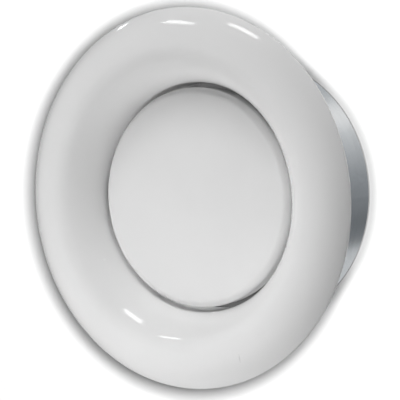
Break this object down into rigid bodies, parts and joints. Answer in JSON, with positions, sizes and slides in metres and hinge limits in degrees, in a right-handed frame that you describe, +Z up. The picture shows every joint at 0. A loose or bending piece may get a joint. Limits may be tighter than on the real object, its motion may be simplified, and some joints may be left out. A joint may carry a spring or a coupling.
{
  "type": "extract air valve",
  "caption": "Round extract air valve: white bell-mouth ring with a screw-adjusted recessed disc, held by a bayonet in a galvanised mounting collar for a round duct.",
  "frame": {"origin": "on the valve's axis at the face of the wall, which is the back of the collar's flange", "axes": "+Y along the axis into the wall and the duct, -Y to the room, +Z up, +X to the right as seen from the room"},
  "size_m": [0.137, 0.0535, 0.137],
  "materials": {
    "white_enamel": "gloss",
    "galvanised_sheet": "satin",
    "zinc_plated_steel": "satin",
    "seal_foam": "matte"
  },
  "bodies": {
    "mounting_collar": {"mounting_collar": "galvanised_sheet"},
    "valve_body": {"bell_mouth_ring": "white_enamel", "rim_gasket": "seal_foam", "bridge": "galvanised_sheet", "bridge_nut": "zinc_plated_steel", "bridge_rivets": "zinc_plated_steel", "bayonet_lug_1": "galvanised_sheet", "bayonet_lug_2": "galvanised_sheet", "bayonet_lug_3": "galvanised_sheet", "lug_rivets": "zinc_plated_steel"},
    "spindle": {"spindle": "zinc_plated_steel"},
    "valve_disc": {"valve_disc": "white_enamel"},
    "lock_washer": {"lock_washer": "zinc_plated_steel"},
    "lock_nut": {"lock_nut": "zinc_plated_steel"}
  },
  "joints": [
    {"name": "bayonet_twist", "type": "hinge", "parent": "mounting_collar", "child": "valve_body", "pos_m": [0, 0, 0], "axis": [0, -1, 0], "range_deg": [0, 20]},
    {"name": "spindle_travel", "type": "slide", "parent": "valve_body", "child": "spindle", "axis": [0, 1, 0], "range_m": [-0.01, 0.007]},
    {"name": "disc_turn", "type": "hinge", "parent": "spindle", "child": "valve_disc", "pos_m": [0, 0, 0], "axis": [0, 1, 0], "range_deg": [-3600, 2520]},
    {"name": "lock_nut_travel", "type": "slide", "parent": "valve_body", "child": "lock_washer", "axis": [0, 1, 0], "range_m": [0, 0.003]},
    {"name": "lock_nut_turn", "type": "hinge", "parent": "lock_washer", "child": "lock_nut", "pos_m": [0, 0.0287, 0], "axis": [0, 1, 0], "range_deg": [0, 1080]}
  ],
  "couplings": [
    {"joint": "spindle_travel", "follows": "disc_turn", "m_per_rad": 0.00015915},
    {"joint": "lock_nut_turn", "follows": "lock_nut_travel", "rad_per_m": 6283.1}
  ]
}
